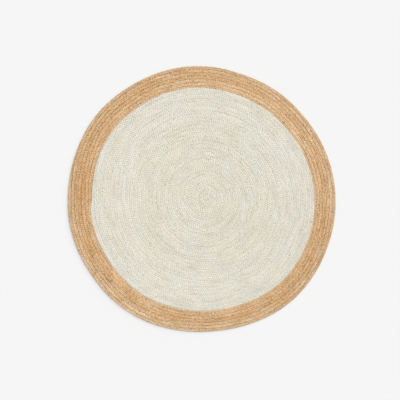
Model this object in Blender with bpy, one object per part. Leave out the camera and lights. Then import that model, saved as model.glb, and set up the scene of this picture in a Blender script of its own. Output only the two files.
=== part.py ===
"""Round braided jute rug, 1.5 m across, lying flat.

A flat three-strand braid of ivory jute is coiled outward from the middle and sewn row to row. Where
its tail runs out, a braid of natural jute takes over and is coiled on as a border. Each braid is one
closed solid with a flat underside, and its rows are raised ribs on the top face.

Units are metres, +Z is up and the rug lies on Z = 0. The origin is under the middle of the rug's box.
Directions are angles in degrees, counter-clockwise from +X as seen from above.
"""

import math

import bmesh
import bpy
from mathutils import Vector

# Plan of the whole rug
RIM_RADIUS = 0.7540  # radius of the outline, before its bulges and hollows
COLOUR_RADIUS = 0.6325  # the same for the line where the ivory braid ends and the natural one begins
EYE_OFFSET = Vector((0.0300, 0.0062))  # from the middle of the outline to the start of the coil
GAP = 0.0003  # between the two braids

# Rows of the coil, which runs outward clockwise
IVORY_ROWS = 30
NATURAL_ROWS = 6.5
FIRST_SHOWING = 0.6  # share of the first natural row that shows beside the ivory braid
JOIN_DIRECTION = 185.0  # the rows step outward here, and the colours change here
JOIN_SWEEP = 45.0  # degrees over which a row makes its step
STEPPED_BY = 22  # turns near the eye widen evenly, and by this turn they do so in the step alone
CLOSED_SHARE = 0.18  # a tail is closed where it is narrower than this share of a row
EYE_SHARE = 0.5  # and the first turn where it is narrower than this share

# Heights above the floor
CREST = 0.0090  # top of a row
GROOVE = 0.0058  # seam between two rows
RIM_EDGE = 0.0042  # top of the upright outer edge

# Unevenness of the coil. "reach" is how far a bulge stands out, or a hollow in, and "breadth" is
# half its width in degrees. Those of the rim fade to nothing at the eye. Those of the line between
# the colours fade to nothing at the eye and at the rim.
RIM_BULGES = (
    {"towards": 42, "breadth": 25, "reach": -0.0112},
    {"towards": 73, "breadth": 15, "reach": -0.0087},
    {"towards": 141, "breadth": 12, "reach": 0.0042},
    {"towards": 173, "breadth": 13, "reach": -0.0043},
    {"towards": 213, "breadth": 16, "reach": -0.0062},
    {"towards": 275, "breadth": 28, "reach": -0.0140},
    {"towards": 313, "breadth": 23, "reach": 0.0094},
)
COLOUR_BULGES = (
    {"towards": 38, "breadth": 40, "reach": -0.0048},
    {"towards": 274, "breadth": 13, "reach": 0.0047},
)

# The cut end of the ivory braid leaves a small step in the line between the colours.
TAIL_STEP = 0.0080
TAIL_CUT = 5.0  # degrees past the join by which the step has dropped
TAIL_FADE = 30.0  # degrees past the join by which it is gone

SPOKES = 72  # points round one turn
SMOOTH_BELOW = math.radians(20)  # keeps the seams and crests crisp
WELD = 0.00001

IVORY = {"colour": (0.745, 0.723, 0.631, 1.0), "roughness": 0.88}
NATURAL = {"colour": (0.658, 0.413, 0.205, 1.0), "roughness": 0.85}


def clear_scene():
    for item in list(bpy.data.objects):
        bpy.data.objects.remove(item, do_unlink=True)


def fibre_material(name, look):
    material = bpy.data.materials.new(name)
    material.use_nodes = True
    shader = material.node_tree.nodes["Principled BSDF"]
    shader.inputs["Base Color"].default_value = look["colour"]
    shader.inputs["Roughness"].default_value = look["roughness"]
    shader.inputs["Metallic"].default_value = 0.0
    material.diffuse_color = look["colour"]
    return material


def direction(spoke):
    """A spoke's direction. Spoke 0 is at the join, and the others follow the coil clockwise."""
    return JOIN_DIRECTION - 360.0 * spoke / SPOKES


def bulge(rows, degrees):
    """How far a line stands out in a direction, by its table of bulges."""
    reach = 0.0
    for row in rows:
        away = (degrees - row["towards"] + 180.0) % 360.0 - 180.0
        reach += row["reach"] * math.exp(-((away / row["breadth"]) ** 2))
    return reach


def plan_point(radius, spoke):
    """Where a turn of this radius crosses a spoke, from the middle of the outline."""
    share = radius / RIM_RADIUS
    colour_share = min(radius / COLOUR_RADIUS, (RIM_RADIUS - radius) / (RIM_RADIUS - COLOUR_RADIUS))
    angle = math.radians(direction(spoke))
    outward = Vector((math.cos(angle), math.sin(angle)))
    reach = radius + share * bulge(RIM_BULGES, direction(spoke))
    reach += colour_share * bulge(COLOUR_BULGES, direction(spoke))
    return EYE_OFFSET * (1.0 - share) + outward * reach


def box_middle():
    """The middle of the box round the outline."""
    rim = [plan_point(RIM_RADIUS, spoke) for spoke in range(SPOKES)]
    return Vector([(min(p[axis] for p in rim) + max(p[axis] for p in rim)) / 2 for axis in (0, 1)])


def colour_line(spoke):
    """Radius of the line between the colours, with the step at the cut end of the ivory."""
    past = 360.0 * spoke / SPOKES
    fading = (TAIL_FADE - past) / (TAIL_FADE - TAIL_CUT)
    return COLOUR_RADIUS - TAIL_STEP * max(0.0, min(past / TAIL_CUT, fading))


def growth(turn, spoke):
    """How many rows a turn has moved outward by this spoke: 0 at the join, 1 once round."""
    even = spoke / SPOKES
    part = min(1.0, 360.0 * even / JOIN_SWEEP)
    step = part * part * (3.0 - 2.0 * part)
    stepped = min(1.0, (turn + even) / STEPPED_BY)
    return (1.0 - stepped) * even + stepped * step


def seam_radii(coil, spoke):
    """Radii where a spoke crosses the coil's inner edge, each seam between rows, and its outer edge.

    A tail too narrow to show is closed by moving its seam onto the edge beside it.
    """
    inner = coil["inner"](spoke)
    outer = coil["outer"](spoke)
    shut = coil["pitch"] * CLOSED_SHARE
    shut_inside = coil["pitch"] * EYE_SHARE if inner == 0.0 else shut
    radii = [inner]
    for seam in range(coil["seams"]):
        grown = seam + growth(coil["first_turn"] + seam, spoke)
        radius = coil["start"] + coil["pitch"] * grown
        if radius < inner + shut_inside:
            radius = inner
        if radius > outer - shut:
            radius = outer
        radii.append(radius)
    return radii + [outer]


def ribbed_spoke(coil, spoke, origin):
    """Points along a spoke: seam, crest, seam, crest and so on to the outer edge.

    A closed row has its crest on its seam. The eye is a low dome, so its crest is at the centre.
    """
    radii = seam_radii(coil, spoke)
    points = []
    for radius, following in zip(radii, radii[1:] + radii[-1:]):
        height = GROOVE
        if radius == radii[0]:
            height = coil["inner_height"]
        if radius == radii[-1]:
            height = coil["outer_height"]
        points.append((radius, height))
        width = following - radius
        if width == 0.0 or radius == 0.0:
            points.append((radius, height))
        else:
            rise = (CREST - GROOVE) * min(1.0, width / coil["pitch"]) ** 0.5
            points.append((radius + width / 2, GROOVE + rise))
    return [(*(plan_point(radius, spoke) - origin), height) for radius, height in points[:-1]]


def add_ribbed_top(mesh, coil, origin):
    """The top face, in strips from each spoke to the next.

    Once round, each row has moved one row out, so the last spoke meets the first one a row further
    along. Points that coincide, as in closed rows and at the eye, are then welded.
    """
    spokes = []
    for spoke in range(SPOKES):
        spokes.append([mesh.verts.new(point) for point in ribbed_spoke(coil, spoke, origin)])
    row_out = spokes[0][2:]
    for near, far in zip(spokes, spokes[1:] + [row_out]):
        for i in range(len(far) - 1):
            mesh.faces.new((near[i], near[i + 1], far[i + 1], far[i]))
    bmesh.ops.remove_doubles(mesh, verts=mesh.verts, dist=WELD)


def close_below(mesh):
    """Upright edges down to the floor, and the flat underside."""
    top_edges = [edge for edge in mesh.edges if edge.is_boundary]
    walls = bmesh.ops.extrude_edge_only(mesh, edges=top_edges)["geom"]
    for item in walls:
        if isinstance(item, bmesh.types.BMVert):
            item.co.z = 0.0
    floor_edges = [edge for edge in mesh.edges if edge.is_boundary]
    corners = {vert for edge in floor_edges for vert in edge.verts}
    if len(corners) > SPOKES:
        bmesh.ops.bridge_loops(mesh, edges=floor_edges)
    else:
        bmesh.ops.holes_fill(mesh, edges=floor_edges)
    bmesh.ops.recalc_face_normals(mesh, faces=mesh.faces)


def make_coil(name, coil, look, origin):
    mesh = bmesh.new()
    add_ribbed_top(mesh, coil, origin)
    close_below(mesh)
    data = bpy.data.meshes.new(name)
    mesh.to_mesh(data)
    mesh.free()
    data.shade_smooth()
    data.set_sharp_from_angle(angle=SMOOTH_BELOW)
    data.materials.append(fibre_material(name + "_fibre", look))
    item = bpy.data.objects.new(name, data)
    bpy.context.scene.collection.objects.link(item)
    return item


def ivory_coil():
    """The ivory braid, from the eye to the line between the colours."""
    return {
        "pitch": COLOUR_RADIUS / IVORY_ROWS,
        "start": 0.0,
        "first_turn": 0,
        "seams": IVORY_ROWS,
        "inner": lambda spoke: 0.0,
        "outer": lambda spoke: colour_line(spoke) - GAP / 2,
        "inner_height": CREST,
        "outer_height": GROOVE,
    }


def natural_coil():
    """The natural braid, from the line between the colours to the rim."""
    pitch = (RIM_RADIUS - COLOUR_RADIUS) / NATURAL_ROWS
    hidden = 1.0 - FIRST_SHOWING
    return {
        "pitch": pitch,
        "start": COLOUR_RADIUS - hidden * pitch,
        "first_turn": IVORY_ROWS,
        "seams": math.ceil(NATURAL_ROWS + hidden),
        "inner": lambda spoke: colour_line(spoke) + GAP / 2,
        "outer": lambda spoke: RIM_RADIUS,
        "inner_height": GROOVE,
        "outer_height": RIM_EDGE,
    }


def main():
    clear_scene()
    origin = box_middle()
    make_coil("ivory_braid_centre", ivory_coil(), IVORY, origin)
    make_coil("natural_braid_border", natural_coil(), NATURAL, origin)


main()
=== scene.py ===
import math

import bmesh
import bpy
import numpy as np
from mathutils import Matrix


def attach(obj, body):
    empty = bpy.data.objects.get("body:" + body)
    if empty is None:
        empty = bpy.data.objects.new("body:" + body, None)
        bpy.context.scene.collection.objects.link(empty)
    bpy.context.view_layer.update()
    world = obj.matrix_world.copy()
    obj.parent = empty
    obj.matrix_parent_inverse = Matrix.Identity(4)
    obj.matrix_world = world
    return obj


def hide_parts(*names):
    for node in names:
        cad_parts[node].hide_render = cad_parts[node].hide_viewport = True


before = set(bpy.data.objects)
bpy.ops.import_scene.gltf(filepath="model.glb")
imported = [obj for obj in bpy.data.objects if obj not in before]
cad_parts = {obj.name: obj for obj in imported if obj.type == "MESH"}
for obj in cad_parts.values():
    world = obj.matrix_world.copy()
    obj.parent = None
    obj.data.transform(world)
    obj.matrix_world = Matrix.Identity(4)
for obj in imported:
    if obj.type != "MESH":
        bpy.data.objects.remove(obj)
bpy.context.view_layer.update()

# A round rug: a flat three-strand jute braid coiled outward clockwise and sewn row to row.
# Metres; directions are degrees counter-clockwise from +X; "turn" counts rows along the coil.

rug = {
    "rimRadius": 0.7540,  # of the outline, before its bulges and hollows
    "colourRadius": 0.6325,  # the same for the line where ivory ends and natural begins
    "eyeOffset": (0.0300, 0.0062),  # from the middle of the outline to the start of the coil
    "seamGap": 0.0003,  # between the two colours
    "joinDirection": 185.0,  # rows step outward clockwise from here
    "joinSweep": 45.0,  # degrees over which a row makes its step
    "steppedBy": 22,  # turns near the eye widen evenly, and from this one on in the step alone
    "tailStep": 0.0080,  # the cut end of the ivory braid, seen in the line between the colours
    "tailCut": 5.0,  # degrees past the join by which the step has dropped
    "tailFade": 30.0,  # and by which it is gone
    "ivoryRows": 30,
    "naturalRows": 6.5,
    "firstHidden": 0.4,  # share of the first natural row that lies under the ivory edge
    "crest": 0.0090,  # height of a row, and of the seam between two
    "groove": 0.0058,
    "spokes": 72,  # directions in which the outline is measured for its box
    "turnStep": 1 / 720,  # from one measured point of the coil to the next
    "rimTowards": (42, 73, 141, 173, 213, 275, 313),  # bulges (+) and hollows (-) of the outline
    "rimBreadth": (25, 15, 12, 13, 16, 28, 23),
    "rimReach": (-0.0112, -0.0087, 0.0042, -0.0043, -0.0062, -0.0140, 0.0094),
    "colourTowards": (38, 274),  # and of the line between the colours
    "colourBreadth": (40, 13),
    "colourReach": (-0.0048, 0.0047),
    "ivoryTowards": (30, 285),  # directions in which the yarn is paler (+) or deeper (-), as a share
    "ivoryBreadth": (45, 25),
    "ivoryReach": (0.015, 0.012),
    "naturalTowards": (45, 172, 245, 325),
    "naturalBreadth": (38, 22, 25, 20),
    "naturalReach": (0.060, -0.070, 0.045, -0.035),
}
borderWidth = rug["rimRadius"] - rug["colourRadius"]

ivoryCoil = {
    "name": "ivory",
    "node": "ivory_braid_centre",
    "slot": "ivory_jute",
    "pitch": rug["colourRadius"] / rug["ivoryRows"],
    "start": 0.0,
    "firstTurn": 0,
    "from": 0.30,  # turn at which the braid starts, tucked into the eye
    "to": 30.088,  # turn at which its tail has narrowed away
    "sewnFrom": 1.02,  # turn at which it has a row beside it to be sewn to
    "braidLength": 0.0375,  # along the braid for one full weave of a strand
    "halfWidth": 0.290,  # of a strand, of the braid's width, so that pressed rows touch
    "hankTurns": (0.0, 0.6, 1.3, 2.5, 4, 8, 12, 16, 20, 24, 26.7, 28.3, 31),  # light and tint of the yarn
    "hankLight": (0.84, 0.90, 0.965, 0.98, 1.0, 0.985, 1.0, 0.995, 1.01, 1.02, 1.01, 1.0, 0.99),
    "hankTint": (1.0, 1.0, 0.9, 0.8, 0.8, 1.0, 0.9, 0.9, 0.5, 0.0, 0.0, 0.1, 0.2),
    "rowWander": 0.040,  # lighter and darker stretches of a row
    "seed": 11,
}

naturalCoil = {
    "name": "natural",
    "node": "natural_braid_border",
    "slot": "natural_jute",
    "pitch": borderWidth / rug["naturalRows"],
    "start": rug["colourRadius"] - rug["firstHidden"] * borderWidth / rug["naturalRows"],
    "firstTurn": 30,
    "from": 0.05,
    "to": 7.088,
    "sewnFrom": 0.06,
    "braidLength": 0.033,
    "halfWidth": 0.258,
    "hankTurns": (0.0, 0.9, 1.1, 1.35, 1.6, 2.3, 2.7, 3.1, 3.9, 4.5, 5.2, 5.7, 5.95, 6.2, 7.1),
    "hankLight": (1.115, 1.115, 1.01, 1.11, 0.99, 1.08, 1.0, 0.95, 0.93, 1.0, 0.99, 1.08, 1.08, 0.97, 1.04),
    "hankTint": (0.5, 0.45, 0.4, 0.3, 0.2, 0.1, 0.0, 0.0, 0.1, 0.3, 0.7, 0.8, 0.8, 0.9, 1.0),
    "rowWander": 0.050,
    "seed": 47,
}

strand = {
    "swing": 0.276,  # sideways swing of a strand's middle, of the braid's width
    "halfHeight": 0.00225,
    "rise": 0.00180,  # how far a strand's middle goes above and below the braid's
    "middle": 0.00460,  # height of the braid's middle
    "lag": 14.0,  # degrees of the weave by which a strand stays on top past its crossing
    "lead": 0.25,  # share by which it is longer on top than below
    "flat": 1.6,  # how level its run on top is
    "square": 2.6,  # power of the section's outline, where 2 is an ellipse
    "plump": 0.08,  # a strand is this much fuller where it passes over
    "unlike": 3.7,  # metres by which the three strands' patterns are shifted
    "leastRow": 0.02,  # a row that narrows away is still this share of a full one in height
    "phases": (5, 35, 65, 95, 130),  # degrees of the weave with a ring, in each half of it
    "section": (0, 45, 90, 135, 180, 270),  # degrees round the section, finer on top
    "measured": 40,  # the ring whose girth sets the scale of a strand's map
}

# How much, metres from one random value to the next, and a shift of the seed
unevenness = {
    "weave": (0.09, 0.210, 0),
    "weaveFine": (0.05, 0.050, 1),
    "swing": (0.05, 0.060, 3),
    "height": (0.00020, 0.035, 4),
    "width": (0.07, 0.028, 5),
    "thickness": (0.05, 0.022, 6),
    "stitchPlace": (0.0022, 0.020, 70),
    "stitchSwing": (0.2, 0.016, 71),
    "stitchHeight": (0.0004, 0.030, 72),
    "rowLight": (1.0, 0.060, 80),  # times the coil's own rowWander
}


def drift(distance, every, seed):
    # Random wander between -1 and 1: a random height at each "every", joined by cosine easing
    heights = np.random.default_rng(seed).uniform(-1, 1, int(distance.max() / every) + 3)
    place = distance / every
    low = place.astype(int)
    ease = (1 - np.cos(np.pi * (place - low))) / 2
    return heights[low] * (1 - ease) + heights[low + 1] * ease


def uneven(what, distance, seed):
    # How much * a random wander of its own
    amount, every, shift = unevenness[what]
    return amount * drift(distance, every, seed + shift)


def bells(line, degrees):
    # Sum of bells: reach * exp(-(angle from the bell / breadth) squared)
    away = (np.asarray(degrees)[..., None] - rug[line + "Towards"] + 180) % 360 - 180
    return (np.array(rug[line + "Reach"]) * np.exp(-((away / rug[line + "Breadth"]) ** 2))).sum(-1)


def outlinePoint(radius, degrees):
    # Eye offset fading to the rim, plus the outward direction times the radius and its share of the
    # bulges: the rim's grow to the rim, and the colour line's grow to that line and fade to the rim
    share = np.asarray(radius) / rug["rimRadius"]
    colourShare = np.minimum(radius / rug["colourRadius"], (rug["rimRadius"] - radius) / borderWidth)
    angle = np.radians(degrees)
    reach = radius + share * bells("rim", degrees) + colourShare * bells("colour", degrees)
    x = rug["eyeOffset"][0] * (1 - share) + np.cos(angle) * reach
    y = rug["eyeOffset"][1] * (1 - share) + np.sin(angle) * reach
    return np.stack([x, y], -1)


def boxMiddle():
    # Halfway between the least and the most of the rim, which is where the frame has its origin
    degrees = rug["joinDirection"] - 360 * np.arange(rug["spokes"]) / rug["spokes"]
    rim = outlinePoint(np.full(rug["spokes"], rug["rimRadius"]), degrees)
    return (rim.min(0) + rim.max(0)) / 2


rugMiddle = boxMiddle()


def place(radius, degrees, height):
    # A point of the rug in the frame: its plan place less the box's middle, and its height
    plan = outlinePoint(radius, degrees) - rugMiddle
    return np.concatenate([plan, np.broadcast_to(height, plan.shape[:-1])[..., None]], -1)


def directionAt(turn):
    # The join's direction, less 360 degrees for each turn
    return rug["joinDirection"] - 360 * (turn % 1)


def colourLine(turn):
    # Radius between the colours, less the step at the cut end, which drops and then fades
    past = 360 * (turn % 1)
    fading = (rug["tailFade"] - past) / (rug["tailFade"] - rug["tailCut"])
    return rug["colourRadius"] - rug["tailStep"] * np.clip(np.minimum(past / rug["tailCut"], fading), 0, 1)


def seamRadius(coil, turn):
    # start + pitch * (whole turns + growth), where growth goes evenly near the eye and later in one step
    whole = np.floor(turn)
    share = turn - whole
    part = np.minimum(1, 360 * share / rug["joinSweep"])
    step = part * part * (3 - 2 * part)
    stepped = np.minimum(1, (coil["firstTurn"] + turn) / rug["steppedBy"])
    return coil["start"] + coil["pitch"] * (whole + (1 - stepped) * share + stepped * step)


def rowEdges(coil, turn):
    # Radii of the seams on both sides of the braid, one turn apart, kept between the coil's own edges
    inner = 0 * turn if coil is ivoryCoil else colourLine(turn) + rug["seamGap"] / 2
    outer = colourLine(turn) - rug["seamGap"] / 2 if coil is ivoryCoil else rug["rimRadius"] + 0 * turn
    near = np.clip(seamRadius(coil, turn - 1), inner, outer)
    far = np.clip(seamRadius(coil, turn), inner, outer)
    return near, far


def lengthAlong(points):
    # Running sum of the distances from each point to the next
    return np.concatenate([[0], np.cumsum(np.linalg.norm(np.diff(points, axis=0), axis=1))])


def girthOf(ring):
    # Running sum of the distances round a closed ring
    return lengthAlong(np.concatenate([ring, ring[:1]]))


def makePiece(name, points, corners, counts, layers, marks):
    # One mesh object. Each face starts at the sum of the counts before it: corners lists every face's
    # vertices in a row, and counts how many each face has. Layers are UV maps, marks are attributes.
    mesh = bpy.data.meshes.new(name)
    mesh.vertices.add(len(points))
    mesh.vertices.foreach_set("co", np.ascontiguousarray(points, np.float32).ravel())
    mesh.loops.add(len(corners))
    mesh.loops.foreach_set("vertex_index", corners.astype(np.int32))
    mesh.polygons.add(len(counts))
    mesh.polygons.foreach_set("loop_start", (np.cumsum(counts) - counts).astype(np.int32))
    mesh.update(calc_edges=True)
    for label, uv in layers.items():
        layer = mesh.uv_layers.new(name=label, do_init=False)
        layer.uv.foreach_set("vector", np.ascontiguousarray(uv, np.float32).ravel())
    for label, values in marks.items():
        mark = mesh.attributes.new(label, "FLOAT_VECTOR", "POINT")
        mark.data.foreach_set("vector", np.ascontiguousarray(values, np.float32).ravel())
    mesh.shade_smooth()
    piece = bpy.data.objects.new(name, mesh)
    bpy.context.scene.collection.objects.link(piece)
    return piece


def sectionShape(section, power):
    # cos(angle) and sin(angle), each raised to 2 / power with its sign kept
    cosine, sine = np.cos(np.radians(section)), np.sin(np.radians(section))
    return np.sign(cosine) * np.abs(cosine) ** (2 / power), np.sign(sine) * np.abs(sine) ** (2 / power)


def tube(path, halfWidth, halfHeight, section, power=2.0):
    # path + side * halfWidth * wide + lift * halfHeight * tall, round the section's shape
    ahead = np.gradient(path, axis=0)
    ahead /= np.linalg.norm(ahead, axis=1)[:, None]
    side = np.cross(ahead, (0, 0, 1))
    side /= np.linalg.norm(side, axis=1)[:, None]
    lift = np.cross(side, ahead)
    wide, tall = sectionShape(section, power)
    across = (wide[None, :, None] * side[:, None]) * halfWidth[:, None, None]
    up = (tall[None, :, None] * lift[:, None]) * halfHeight[:, None, None]
    return path[:, None] + across + up


def tubeFaces(rings, sides):
    # A quad from each ring to the next on every side, and one flat face at each end
    ring, side = np.meshgrid(np.arange(rings - 1), np.arange(sides), indexing="ij")
    after = (side + 1) % sides
    quads = np.stack([ring * sides + side, (ring + 1) * sides + side,
                      (ring + 1) * sides + after, ring * sides + after], -1).reshape(-1)
    ends = np.concatenate([np.arange(sides), (rings - 1) * sides + np.arange(sides)[::-1]])
    counts = np.concatenate([np.full((rings - 1) * sides, 4), [sides, sides]])
    return np.concatenate([quads, ends]), counts, ring.ravel(), side.ravel()


bakeMap = {
    "strips": 56,  # that a strand's length is cut into and stacked in
    "gutter": 0.06,  # of a strip, kept free on both sides of it
    "margin": 0.002,  # of the map
    "capBand": 0.016,  # left at the top for the two end faces
    "capPlaces": (0.25, 0.75),
    "capHeight": 0.993,
    "capRadius": 0.004,
    "endRadius": 0.001,  # metres of strandUv on an end face
}


def strandLayers(length, around, ring, side, sides, ahead=0.0):
    # strandUv is metres along and around. OFBake is the share along a strip, and upward the strip's
    # number plus the share around, over the number of strips. An end face is a small circle in both.
    alongs = np.stack([length[ring], length[ring + 1], length[ring + 1], length[ring]], -1)
    rounds = np.stack([around[side], around[side], around[side + 1], around[side + 1]], -1)
    capAlong = np.repeat([length[0], length[-1]], sides)
    capTurn = np.tile(np.arange(sides) * 2 * np.pi / sides, 2)
    endX, endY = bakeMap["endRadius"] * np.cos(capTurn), bakeMap["endRadius"] * np.sin(capTurn)
    strandUv = np.stack([ahead + np.concatenate([alongs.ravel(), capAlong + endX]),
                         np.concatenate([rounds.ravel(), endY])], -1)
    strips, gutter, margin = bakeMap["strips"], bakeMap["gutter"], bakeMap["margin"]
    each = math.ceil((len(length) - 1) / strips)
    strip = ring // each
    left = (ring % each) / each
    right = left + 1 / each
    low = (strip + gutter + (1 - 2 * gutter) * around[side] / around[-1]) / strips
    high = (strip + gutter + (1 - 2 * gutter) * around[side + 1] / around[-1]) / strips
    across = np.stack([left, right, right, left], -1).ravel()
    upward = np.stack([low, low, high, high], -1).ravel()
    capX = np.repeat(bakeMap["capPlaces"], sides) + bakeMap["capRadius"] * np.cos(capTurn)
    capY = bakeMap["capHeight"] + bakeMap["capRadius"] * np.sin(capTurn)
    bake = np.stack([np.concatenate([margin + (1 - 2 * margin) * across, capX]),
                     np.concatenate([margin + (1 - margin - bakeMap["capBand"]) * upward, capY])], -1)
    return {"strandUv": strandUv, "OFBake": bake}


def braidPath(coil):
    # Turns, distances and weaves along the braid: weaves are the running sum of distance * rate over
    # the length of one, where the rate wanders a little round 1
    turn = np.arange(coil["from"], coil["to"], rug["turnStep"])
    near, far = rowEdges(coil, turn)
    run = lengthAlong(place((near + far) / 2, directionAt(turn), 0.0))
    rate = 1 + uneven("weave", run, coil["seed"]) + uneven("weaveFine", run, coil["seed"])
    weave = np.concatenate([[0], np.cumsum(np.diff(run) * rate[1:])]) / coil["braidLength"]
    return turn, run, weave


def makeStrand(coil, number, path):
    # Sideways swing * sin(phase), and upward rise * tanh(flat * (sin(2 * (phase - lag)) + lead)) over
    # its most. The section is wide and low, fuller where the strand passes over.
    turns, runs, weaves = path
    halves = np.arange(2 * int(weaves[-1]) + 3)[:, None] / 2
    weave = (halves + np.array(strand["phases"]) / 360 - number / 3).ravel()
    weave = weave[(weave > 0) & (weave < weaves[-1])]
    turn, run = np.interp(weave, weaves, turns), np.interp(weave, weaves, runs)
    near, far = rowEdges(coil, turn)
    width = far - near
    squeeze = np.clip(width / coil["pitch"], strand["leastRow"], 1)
    low = (rug["groove"] + (rug["crest"] - rug["groove"]) * squeeze ** 0.5) / rug["crest"]
    seed = coil["seed"] + 10 * number
    phase = 2 * np.pi * (weave + number / 3)
    swing = strand["swing"] * (1 + uneven("swing", run, seed))
    sideways = swing * width * np.sin(phase)
    top = 1 + strand["lead"]
    above = np.tanh(strand["flat"] * (np.sin(2 * (phase - math.radians(strand["lag"]))) + strand["lead"]))
    above /= math.tanh(strand["flat"] * top)
    height = low * (strand["middle"] + strand["rise"] * above)
    height += uneven("height", run, seed)
    middles = place((near + far) / 2 + sideways, directionAt(turn), height)
    full = 1 + strand["plump"] * above + uneven("width", run, seed)
    between = place(far, directionAt(turn), 0.0) - place(near, directionAt(turn), 0.0)
    halfWidth = coil["halfWidth"] * np.linalg.norm(between, axis=1) * full
    halfHeight = strand["halfHeight"] * low * (1 + uneven("thickness", run, seed))
    rings = tube(middles, halfWidth, halfHeight, strand["section"], strand["square"])
    sides = len(strand["section"])
    corners, counts, ring, side = tubeFaces(len(turn), sides)
    around = girthOf(rings[strand["measured"]])
    layers = strandLayers(lengthAlong(middles), around, ring, side, sides, strand["unlike"] * number)
    # The coil runs clockwise, so a section's own side points inward
    wide = sectionShape(strand["section"], strand["square"])[0]
    outward = (sideways[:, None] - halfWidth[:, None] * wide).ravel()
    turn, run, width = np.repeat(turn, sides), np.repeat(run, sides), np.repeat(width, sides)
    marks = {"hank": hankAt(coil, turn, run), "row": rowPlace(run, outward, width)}
    name = f"{coil['name']}Strand{number + 1}"
    return makePiece(name, rings.reshape(-1, 3), corners, counts, layers, marks)


def hankAt(coil, turn, run):
    # Light and tint of the yarn in hand at this turn, read between the coil's tables. The light goes
    # up and down by stretches of the row and by the direction's bells.
    light = np.interp(turn, coil["hankTurns"], coil["hankLight"])
    light = light * (1 + coil["rowWander"] * uneven("rowLight", run, coil["seed"]))
    light = light * (1 + bells(coil["name"], directionAt(turn)))
    tint = np.interp(turn, coil["hankTurns"], coil["hankTint"])
    return np.stack([light, tint, 0 * turn], -1)


def rowPlace(run, outward, width):
    # Metres along the row and outward from its middle, and 0 in the middle to 1 at the seams
    return np.stack([run, outward + 0 * run, np.abs(outward) / (width / 2)], -1)


def makeStrands(coil):
    # Three strands on one path, each a third of a weave after the last
    path = braidPath(coil)
    strands = [makeStrand(coil, number, path) for number in range(3)]
    print(coil["name"], "braid:", round(float(path[1][-1]), 2), "m,", round(float(path[2][-1])), "weaves")
    return strands


ground = {
    "top": 0.0061,  # packed fibre between the strands, seen in the seams
    "rimTop": 0.0038,  # it is lower at the rim
    "eyeTop": 0.0068,  # and higher where the braid starts
    "eyeRadius": 0.016,
    "thickness": 0.0026,
    "rimInset": 0.0050,
    "spokes": 180,  # points round one turn
    "ivoryRings": 16,  # steps from its inner edge to its outer one
    "naturalRings": 6,
    "weld": 0.000001,
    "rowOutward": 1.0,  # metres: anywhere outside the middle of the row will do
    "rowWidth": 2.0,  # with which the whole ground counts as the side of a row, and takes the painted seam light and shade
}


def enclosedArea(loop):
    # Shoelace: half the sum of x * next y - y * next x
    after = np.roll(loop, -1, axis=0)
    return abs((loop[:, 0] * after[:, 1] - loop[:, 1] * after[:, 0]).sum()) / 2


def makeGround(coil):
    # Rings at even shares between the coil's edges, out along the underside and back along the top.
    # The top falls evenly to the rim and rises to the eye. The flat size is the edge's box for ivory,
    # and for the border its area over the length of its middle line, by that length.
    turn = np.arange(ground["spokes"]) / ground["spokes"]
    line = colourLine(turn)
    inner, outer = 0 * turn, line - rug["seamGap"] / 2
    if coil is naturalCoil:
        inner, outer = line + rug["seamGap"] / 2, 0 * turn + rug["rimRadius"] - ground["rimInset"]
    rings = ground[coil["name"] + "Rings"]
    share = np.arange(rings + 1) / rings
    radius = inner[:, None] + (outer - inner)[:, None] * np.concatenate([share, share[::-1]])
    past = np.clip((radius - line[:, None]) / (rug["rimRadius"] - line[:, None]), 0, 1)
    near = np.clip(1 - radius / ground["eyeRadius"], 0, 1)
    height = ground["top"] + (ground["rimTop"] - ground["top"]) * past
    height = height + (ground["eyeTop"] - ground["top"]) * near
    across = 2 * rings + 2
    height = height - ground["thickness"] * (np.arange(across) <= rings)
    points = place(radius, np.broadcast_to(directionAt(turn)[:, None], radius.shape), height)
    # The border has a wall at its inner edge too, while ivory's rings meet at the eye
    steps = across - 1 if coil is ivoryCoil else across
    spoke, ring = np.meshgrid(np.arange(ground["spokes"]), np.arange(steps), indexing="ij")
    nextSpoke, nextRing = (spoke + 1) % ground["spokes"], (ring + 1) % across
    quads = np.stack([spoke * across + ring, spoke * across + nextRing,
                      nextSpoke * across + nextRing, nextSpoke * across + ring], -1).reshape(-1)
    layers = {"strandUv": points[..., :2].reshape(-1, 2)[quads]}
    # The nearest row at each point lends it its yarn
    run = (radius * 2 * np.pi * turn[:, None]).ravel()
    nearest = np.round((radius - coil["start"]) / coil["pitch"] - turn[:, None]) + turn[:, None]
    nearest = np.maximum(nearest, 0).ravel()
    row = rowPlace(run, ground["rowOutward"] + 0 * run, ground["rowWidth"])
    marks = {"hank": hankAt(coil, nearest, run), "row": row}
    counts = np.full(spoke.size, 4)
    piece = makePiece(coil["name"] + "Ground", points.reshape(-1, 3), quads, counts, layers, marks)
    closeEye(piece)
    edge, hole = points[:, rings, :2], points[:, 0, :2]
    if coil is ivoryCoil:
        width, length = np.ptp(edge, axis=0)
        return piece, (float(width), float(length)), float(enclosedArea(edge))
    area = enclosedArea(edge) - enclosedArea(hole)
    girth = lengthAlong((edge + hole) / 2)[-1]
    return piece, (float(area / girth), float(girth)), float(area)


def closeEye(piece):
    # Points that coincide at the eye become one
    mesh = bmesh.new()
    mesh.from_mesh(piece.data)
    bmesh.ops.remove_doubles(mesh, verts=mesh.verts, dist=ground["weld"])
    mesh.to_mesh(piece.data)
    mesh.free()


thread = {
    "halfWidth": 0.0006,  # of the thread that joins the rows
    "swing": 0.14,  # sideways from the seam, of the row on each side
    "stitch": 0.0118,  # along the seam from one side to the other
    "height": 0.0060,
    "sides": (30, 150, 270),
    "endShort": 0.04,  # turns before the braid's own end
    "measured": 9,  # the ring whose girth sets the scale of its map
}


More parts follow.
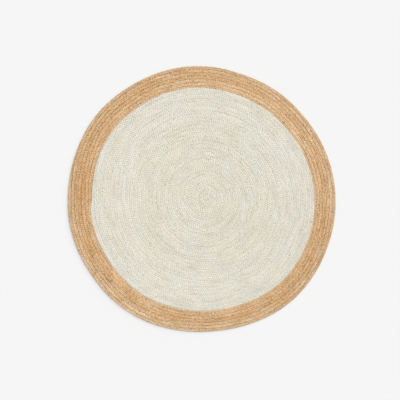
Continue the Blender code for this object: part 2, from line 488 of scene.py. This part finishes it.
def makeThread(coil):
    # Along each seam, sideways by swing * row width * (+1, -1, +1 ...), with a corner at every stitch
    turn = np.arange(coil["sewnFrom"], coil["to"] - thread["endShort"], rug["turnStep"])
    near = rowEdges(coil, turn)[0]
    run = lengthAlong(place(near, directionAt(turn), 0.0))
    corner = np.arange(thread["stitch"], run[-1], thread["stitch"])
    corner = corner + uneven("stitchPlace", corner, coil["seed"])
    turn = np.interp(corner, run, turn)
    flip = 1 - 2 * (np.arange(len(turn)) % 2)
    near, far = rowEdges(coil, turn)
    width = far - near
    away = thread["swing"] * width * flip * (1 + uneven("stitchSwing", corner, coil["seed"]))
    height = thread["height"] + uneven("stitchHeight", corner, coil["seed"])
    middles = place(near + away, directionAt(turn), height)
    half = np.full(len(turn), thread["halfWidth"])
    rings = tube(middles, half, half, thread["sides"])
    sides = len(thread["sides"])
    corners, counts, ring, side = tubeFaces(len(turn), sides)
    around = girthOf(rings[thread["measured"]])
    layers = strandLayers(lengthAlong(middles), around, ring, side, sides)
    # The thread counts as lying by the seam, so it takes the painted seam light and shade
    marks = {"hank": hankAt(coil, turn, corner), "row": rowPlace(corner, away + width / 2, width)}
    marks = {label: np.repeat(values, sides, axis=0) for label, values in marks.items()}
    print(coil["name"], "thread:", len(turn), "stitches")
    return makePiece(coil["name"] + "Thread", rings.reshape(-1, 3), corners, counts, layers, marks)


fuzz = {
    "ivory": 620,  # stray fibres of each coil
    "natural": 420,
    "fromRim": 0.25,  # share of the natural ones that stand out from the rim
    "rings": 5,  # along each fibre
    "longFrom": 0.006,
    "longTo": 0.017,
    "bend": 0.45,  # most that one bends sideways, of its length
    "rise": 0.0016,
    "riseFrom": 0.3,  # of that rise
    "riseTo": 1.4,
    "droop": 0.0012,  # of its tip
    "halfWidth": 0.00010,
    "taper": 0.6,  # of its width, lost by the tip
    "sides": (90, 210, 330),
    "skipStart": 1.0,  # turns of the coil without any, at the eye and at the end
    "skipEnd": 0.3,
    "acrossFrom": 0.15,  # of the row's width
    "acrossTo": 0.85,
    "rootHeight": 0.0083,
    "rimInset": 0.003,  # of the roots of those at the rim
    "rimHeight": 0.0040,
    "rimSpread": 1.1,  # most that one there turns from straight out, in radians
}


def makeFuzz(coil):
    # Each fibre, for s from 0 to 1: root + ahead * length * s + sideways * bend * s squared, and up by
    # rise * sin(pi * s) - droop * s squared
    pick = np.random.default_rng(coil["seed"] + 90)
    many = fuzz[coil["name"]]
    turn = pick.uniform(coil["from"] + fuzz["skipStart"], coil["to"] - fuzz["skipEnd"], many)
    near, far = rowEdges(coil, turn)
    radius = near + (far - near) * pick.uniform(fuzz["acrossFrom"], fuzz["acrossTo"], many)
    height = np.full(many, fuzz["rootHeight"])
    heading = pick.uniform(0, 2 * np.pi, many)
    if coil is naturalCoil:
        fromRim = pick.uniform(0, 1, many) < fuzz["fromRim"]
        radius = np.where(fromRim, rug["rimRadius"] - fuzz["rimInset"], radius)
        height = np.where(fromRim, fuzz["rimHeight"], height)
        turned = pick.uniform(-fuzz["rimSpread"], fuzz["rimSpread"], many)
        outward = np.radians(directionAt(turn)) + turned
        heading = np.where(fromRim, outward, heading)
    length = pick.uniform(fuzz["longFrom"], fuzz["longTo"], many)
    bend = length * fuzz["bend"] * pick.uniform(-1, 1, many)
    rise = fuzz["rise"] * pick.uniform(fuzz["riseFrom"], fuzz["riseTo"], many)
    share = np.linspace(0, 1, fuzz["rings"])
    ahead = np.stack([np.cos(heading), np.sin(heading), 0 * heading], -1)
    aside = np.stack([-ahead[:, 1], ahead[:, 0], 0 * heading], -1)
    root = place(radius, directionAt(turn), height)
    middles = root[:, None] + (ahead * length[:, None])[:, None] * share[:, None]
    middles += (aside * bend[:, None])[:, None] * share[:, None] ** 2
    middles[..., 2] += rise[:, None] * np.sin(np.pi * share) - fuzz["droop"] * share ** 2
    half = fuzz["halfWidth"] * (1 - fuzz["taper"] * share)
    # Its turn also stands for its metres along the row, and it lies in the row's middle
    marks = {"hank": hankAt(coil, turn, turn), "row": rowPlace(turn, 0 * turn, 1.0)}
    print(coil["name"], "stray fibres:", many)
    return joinTubes(coil["name"] + "Fuzz", middles, half, marks)


def joinTubes(name, middles, half, marks):
    # One tube for each row of middles, in one mesh: each tube's corners are the first one's, shifted by
    # the points of those before it
    rings = np.stack([tube(path, half, half, fuzz["sides"]) for path in middles])
    many, count, sides = rings.shape[:3]
    corners, counts = tubeFaces(count, sides)[:2]
    shift = count * sides * np.arange(many)[:, None]
    allCorners = (corners + shift).ravel()
    flat = rings[..., :2].reshape(-1, 2)[allCorners]
    marks = {label: np.repeat(values, count * sides, axis=0) for label, values in marks.items()}
    layers = {"strandUv": flat}
    return makePiece(name, rings.reshape(-1, 3), allCorners, np.tile(counts, many), layers, marks)


class Signal:
    # A node's output. A sum, a difference or a product with a number or a signal, on either side of
    # it, is one more Math node of that kind.
    def __init__(self, tree, socket=None):
        self.tree = tree
        self.socket = socket

    def node(self, kind, settings, sockets, output=0):
        # The one way to add a node: settings first, then the values or links of its sockets
        made = self.tree.nodes.new(kind)
        for name, value in settings.items():
            setattr(made, name, value)
        for name, value in sockets.items():
            if isinstance(value, Signal):
                self.tree.links.new(value.socket, made.inputs[name])
            else:
                made.inputs[name].default_value = value
        return Signal(self.tree, made.outputs[output] if made.outputs else None)

    def other(self, output):
        # Another output of the same node
        return Signal(self.tree, self.socket.node.outputs[output])

    def maths(self, operation, first, second=0.0):
        # One Math node: operation(first, second)
        return self.node("ShaderNodeMath", {"operation": operation}, {0: first, 1: second})

    def __add__(self, term):
        return self.maths("ADD", self, term)

    def __sub__(self, term):
        return self.maths("SUBTRACT", self, term)

    def __rsub__(self, term):
        return self.maths("SUBTRACT", term, self)

    def __mul__(self, factor):
        return self.maths("MULTIPLY", self, factor)

    __radd__ = __add__
    __rmul__ = __mul__

    def band(self, low, high):
        # 0 below low, 1 above high, straight between
        return self.node("ShaderNodeMapRange", {}, {0: self, 1: low, 2: high, 3: 0.0, 4: 1.0})

    def mix(self, share, first, second):
        # first * (1 - share) + second * share, for each channel
        return self.node("ShaderNodeMix", {"data_type": "RGBA"}, {0: share, 6: first, 7: second}, 2)

    def tinted(self, colour, tint):
        # colour * tint, for each channel
        settings = {"data_type": "RGBA", "blend_type": "MULTIPLY"}
        return self.node("ShaderNodeMix", settings, {0: 1.0, 6: colour, 7: tint}, 2)

    def vector(self, x, y):
        # (x, y, 0)
        return self.node("ShaderNodeCombineXYZ", {}, {0: x, 1: y})

    def scaled(self, change, each):
        # 1 + change * each, for red, green and blue
        sockets = {0: change, 1: each, 2: (1, 1, 1)}
        return self.node("ShaderNodeVectorMath", {"operation": "MULTIPLY_ADD"}, sockets)

    def noise(self, vector, scale, detail, dimensions="3D"):
        # Smooth noise from 0 to 1 at vector * scale, with finer noises added by detail
        sockets = {"Vector": vector, "Scale": scale, "Detail": detail}
        return self.node("ShaderNodeTexNoise", {"noise_dimensions": dimensions}, sockets)

    def grained(self, kind, ahead, aside):
        # Flat noise at (ahead * the grain's cells along, aside * its cells across)
        along, across, detail = grain[kind]
        return self.noise(self.vector(ahead * along, aside * across), 1.0, detail, "2D")

    def stretch(self, vector, scale):
        # vector * scale, for each axis
        return self.node("ShaderNodeMapping", {}, {"Vector": vector, "Scale": scale})


ivoryFinish = {
    "deep": (0.545, 0.500, 0.396, 1),  # between fibres
    "pale": (0.831, 0.816, 0.737, 1),  # fibres that catch the light
    "fleck": (0.260, 0.210, 0.150, 1),  # bits of bark
    "flecks": 0.680,  # one shows where the noise is above this
    "cool": (0.981, 1.00, 1.008, 1),  # tints of patches of yarn
    "warm": (1.002, 0.987, 0.966, 1),
    "patches": 9.0,  # to a metre
    "tint": (1.0, 1.0, 0.990, 1),  # of the hanks
    "mottle": 0.15,  # how much paler and deeper: over the rug, along a strand, and by its lobes
    "hankWander": 0.30,
    "lobeWander": 0.05,
    "seamPaintedLight": (1.10, 1.10, 1.085, 1),  # painted light by the seams of a row: it lifts ivory's, and as painted shade and dirt deepens natural's
    "seamShadeAndDirt": (0.80, 0.79, 0.77, 1),  # stretches of painted shade and dirt along the seams
    "streaks": 0.12,  # paler and deeper streaks along a row
    "deepen": (0.90, 1.0, 1.30),  # how much of a change of light each of red, green and blue takes
    "paintedGrooveLight": 0.36,  # painted light by height: the grooves are painted paler, or below 0 darker as painted shade
    "roughness": 0.86,
}

naturalFinish = {
    "deep": (0.408, 0.197, 0.053, 1),
    "pale": (0.898, 0.658, 0.412, 1),
    "fleck": (0.190, 0.085, 0.025, 1),
    "flecks": 0.668,
    "cool": (0.976, 1.010, 1.064, 1),
    "warm": (1.024, 0.988, 0.933, 1),
    "patches": 22.0,
    "tint": (0.960, 1.00, 1.07, 1),
    "mottle": 0.60,
    "hankWander": 0.60,
    "lobeWander": 0.15,
    "seamPaintedLight": (0.985, 0.962, 0.905, 1),
    "seamShadeAndDirt": (0.72, 0.67, 0.58, 1),
    "streaks": 0.60,
    "deepen": (0.60, 1.0, 1.70),
    "paintedGrooveLight": -0.10,
    "roughness": 0.83,
}

# Noises of a strand or a row: cells to a metre along it, cells to a metre across it (or from one yarn
# or side to the next), and detail
grain = {
    "fibre": (150, 3100, 3.0),
    "coarse": (48, 760, 2.0),
    "single": (16, 5.3, 2.0),
    "bark": (48, 260, 2.0),
    "slow": (9, 1, 2.0),
    "quick": (62, 1, 1.0),
    "side": (3.5, 7, 1.0),
    "streak": (7, 180, 1.0),
}

yarn = {
    "width": 0.0021,  # of the single yarns that lie side by side in a strand
    "twist": 9.0,  # yarns passed in a metre of strand
    "slant": 0.33,  # of the fibres across a yarn
    "stray": 0.8,  # yarns by which one wanders sideways
    "strayScale": (32, 90, 1),  # of that wandering: cells to a metre, along and around
    "strayDetail": 1.0,
    "mottleScale": 110.0,
    "mottleDetail": 2.0,
    "patchDetail": 3.0,
    "quickShift": 3.0,  # keeps the quick noise unlike the slow one
    "fibrePart": 1.05,  # what each adds to the share of the pale colour
    "coarsePart": 0.65,
    "singlePart": 0.45,
    "crownPaintedLight": 0.18,
    "lessPart": 0.67,
    "paleBand": (0.10, 1.00),
    "patchBand": (0.38, 0.62),
    "seamShadeAndDirtBand": (0.48, 0.72),
    "seamBand": (0.60, 0.95),  # of the way from a row's middle to its seam
    "paintedGrooveBand": (0.0020, 0.0085),  # heights between which the painted groove light fades away
    "barkSoft": 0.06,  # noise over which a fleck comes up
    "barkCover": 0.85,
    "crownRelief": 0.65,  # what each adds to the bump's height
    "fibreRelief": 0.65,
    "coarseRelief": 0.35,
    "bumpStrength": 0.8,
    "bumpHeight": 0.0006,
    "roughSpread": 0.10,
    "sheen": 0.10,
    "sheenRoughness": 0.6,
    "specular": 0.25,
}
white = (1, 1, 1, 1)


def juteMaterial(name, finish):
    # Colour = deep to pale by the sum of the noises, * patch * hank * painted seam light, * (1 + deepen *
    # (hank's light * painted groove light * streak - 1)), with bark over it. Relief = crown + fibre +
    # coarse, weighted.
    material = bpy.data.materials.new(name)
    material.use_nodes = True
    tree = material.node_tree
    tree.nodes.clear()
    start = Signal(tree)
    strandUv = start.node("ShaderNodeUVMap", {"uv_map": "strandUv"}, {})
    split = start.node("ShaderNodeSeparateXYZ", {}, {0: strandUv})
    along, around = split, split.other("Y")
    spot = start.node("ShaderNodeTexCoord", {}, {}, "Object")
    height = start.node("ShaderNodeSeparateXYZ", {}, {0: spot}, "Z")
    marks = start.node("ShaderNodeAttribute", {"attribute_name": "hank"}, {}, "Vector")
    hank = start.node("ShaderNodeSeparateXYZ", {}, {0: marks})
    tint = hank.other("Y")
    marks = start.node("ShaderNodeAttribute", {"attribute_name": "row"}, {}, "Vector")
    row = start.node("ShaderNodeSeparateXYZ", {}, {0: marks})
    outward = row.other("Y")
    # Yarns side by side round the strand: crown is 0 between two and 1 on top of one
    stretched = start.stretch(strandUv, yarn["strayScale"])
    wander = start.noise(stretched, 1.0, yarn["strayDetail"], "2D") - 0.5
    lane = around * (1 / yarn["width"]) + wander * yarn["stray"] + along * yarn["twist"]
    crown = (lane * math.pi).maths("SINE", lane * math.pi)
    crown = crown.maths("ABSOLUTE", crown)
    lane = lane.maths("FLOOR", lane)
    # Fibres slant across each yarn
    slanted = around + along * yarn["slant"]
    fibre = start.grained("fibre", along, slanted)
    coarse = start.grained("coarse", along, slanted)
    single = start.grained("single", along, lane)
    # Paler and deeper stretches over the rug, along a strand, and from one visible lobe to the next. A
    # noise less a half goes both ways.
    mottle = start.noise(spot, yarn["mottleScale"], yarn["mottleDetail"]) - 0.5
    slow = start.grained("slow", along, 0.0) - 0.5
    quick = start.grained("quick", along, yarn["quickShift"]) - 0.5
    wide = mottle * finish["mottle"] + slow * finish["hankWander"] + quick * finish["lobeWander"]
    share = fibre * yarn["fibrePart"] + coarse * yarn["coarsePart"] + single * yarn["singlePart"]
    # The crown paints the top of each yarn paler and the lane between two deeper: painted light and painted
    # shade
    share = share + crown * yarn["crownPaintedLight"] - yarn["lessPart"] + wide
    colour = start.mix(share.band(*yarn["paleBand"]), finish["deep"], finish["pale"])
    patch = start.noise(spot, finish["patches"], yarn["patchDetail"]).band(*yarn["patchBand"])
    colour = start.tinted(colour, start.mix(patch, finish["cool"], finish["warm"]))
    colour = start.tinted(colour, start.mix(tint, white, finish["tint"]))
    # By the seams each row gets painted light: ivory's are lifted, natural's deepened as painted shade and
    # dirt, and each side has stretches of deeper painted shade and dirt
    side = outward.maths("SIGN", outward)
    seamShadeAndDirtStretches = start.grained("side", row, side).band(*yarn["seamShadeAndDirtBand"])
    seam = row.other("Z").band(*yarn["seamBand"])
    colour = start.tinted(colour, start.mix(seam, white, finish["seamPaintedLight"]))
    colour = start.tinted(colour, start.mix(seam * seamShadeAndDirtStretches, white, finish["seamShadeAndDirt"]))
    # Painted light by height: the low parts, the grooves, are painted paler for ivory and darker, as
    # painted shade, for natural
    paintedGrooveLight = height.band(*yarn["paintedGrooveBand"]) * (-finish["paintedGrooveLight"]) + (1.0 + finish["paintedGrooveLight"])
    streak = start.grained("streak", row, outward) - 0.5
    light = hank * paintedGrooveLight * (streak * finish["streaks"] + 1)
    colour = start.tinted(colour, start.scaled(light - 1, finish["deepen"]))
    bark = start.grained("bark", along, slanted)
    bark = bark.band(finish["flecks"], finish["flecks"] + yarn["barkSoft"]) * yarn["barkCover"]
    colour = start.mix(bark, colour, finish["fleck"])
    relief = crown * yarn["crownRelief"] + fibre * yarn["fibreRelief"] + coarse * yarn["coarseRelief"]
    bump = start.node("ShaderNodeBump", {}, {
        "Strength": yarn["bumpStrength"], "Distance": yarn["bumpHeight"], "Height": relief,
    })
    roughness = fibre * yarn["roughSpread"] + (finish["roughness"] - yarn["roughSpread"] / 2)
    shader = start.node("ShaderNodeBsdfPrincipled", {}, {
        "Base Color": colour, "Roughness": roughness, "Normal": bump, "Sheen Weight": yarn["sheen"],
        "Sheen Roughness": yarn["sheenRoughness"], "Specular IOR Level": yarn["specular"],
    })
    start.node("ShaderNodeOutputMaterial", {}, {"Surface": shader})
    print("material:", name, len(tree.nodes), "nodes")
    return material


studio = {
    "floor": (0.80, 0.80, 0.80, 1),
    "floorReach": 40.0,
    "floorRoughness": 0.9,
    "floorSpecular": 0.0,
    "sky": (1.0, 1.0, 1.0, 1),
    "skyStrength": 0.34,
    "top": {"strength": 1.635, "softness": 70.0, "towards": 0.0, "height": 90.0},
    "key": {"strength": 1.95, "softness": 50.0, "towards": 38.0, "height": 28.0},  # from the upper right
    "lens": 85.0,
    "seesTo": 100.0,  # metres
    "metresAcross": 2.251,  # of the photograph's frame
    "rugRight": 0.00827,  # from the frame's middle to the middle of the outline
    "rugUp": 0.00056,
}


def setStudio():
    # A sky, two suns, a pale floor, and a camera straight above at metresAcross * lens / sensor width
    scene = bpy.context.scene
    scene.view_settings.view_transform = "Standard"
    world = bpy.data.worlds.new("studioSky")
    world.use_nodes = True
    world.node_tree.nodes["Background"].inputs["Color"].default_value = studio["sky"]
    world.node_tree.nodes["Background"].inputs["Strength"].default_value = studio["skyStrength"]
    scene.world = world
    for name in ("top", "key"):
        light = bpy.data.lights.new(name, "SUN")
        light.energy = studio[name]["strength"]
        light.angle = math.radians(studio[name]["softness"])
        lamp = bpy.data.objects.new(name, light)
        lean = math.radians(90 - studio[name]["height"])
        lamp.rotation_euler = (0, lean, math.radians(studio[name]["towards"]))
        scene.collection.objects.link(lamp)
    floorMesh = bpy.data.meshes.new("paleFloor")
    reach = studio["floorReach"]
    corners = [(-reach, -reach, 0), (reach, -reach, 0), (reach, reach, 0), (-reach, reach, 0)]
    floorMesh.from_pydata(corners, [], [(0, 1, 2, 3)])
    floor = bpy.data.objects.new("paleFloor", floorMesh)
    material = bpy.data.materials.new("paleFloor")
    material.use_nodes = True
    shader = material.node_tree.nodes["Principled BSDF"]
    shader.inputs["Base Color"].default_value = studio["floor"]
    shader.inputs["Roughness"].default_value = studio["floorRoughness"]
    shader.inputs["Specular IOR Level"].default_value = studio["floorSpecular"]
    floorMesh.materials.append(material)
    scene.collection.objects.link(floor)
    view = bpy.data.cameras.new("camera")
    view.lens = studio["lens"]
    view.clip_end = studio["seesTo"]
    camera = bpy.data.objects.new("camera", view)
    distance = studio["metresAcross"] * view.lens / view.sensor_width
    camera.location = (-rugMiddle[0] - studio["rugRight"], -rugMiddle[1] - studio["rugUp"], distance)
    scene.collection.objects.link(camera)
    scene.camera = camera
    print("studio: camera", round(distance, 3), "m above the floor")


setStudio()
ivoryLook = juteMaterial("ivoryJute", ivoryFinish)
naturalLook = juteMaterial("naturalJute", naturalFinish)
for coil, look in ((ivoryCoil, ivoryLook), (naturalCoil, naturalLook)):
    strands = makeStrands(coil)
    backing, flat, area = makeGround(coil)
    trimmings = [makeThread(coil), makeFuzz(coil)]
    for piece in strands + trimmings + [backing]:
        piece.data.materials.append(look)
        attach(piece, "root")
        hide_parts(coil["node"])
    width, length = round(flat[0], 3), round(flat[1], 3)
    print(coil["name"], "sheet:", width, "x", length, "m,", round(area, 4), "square metres")
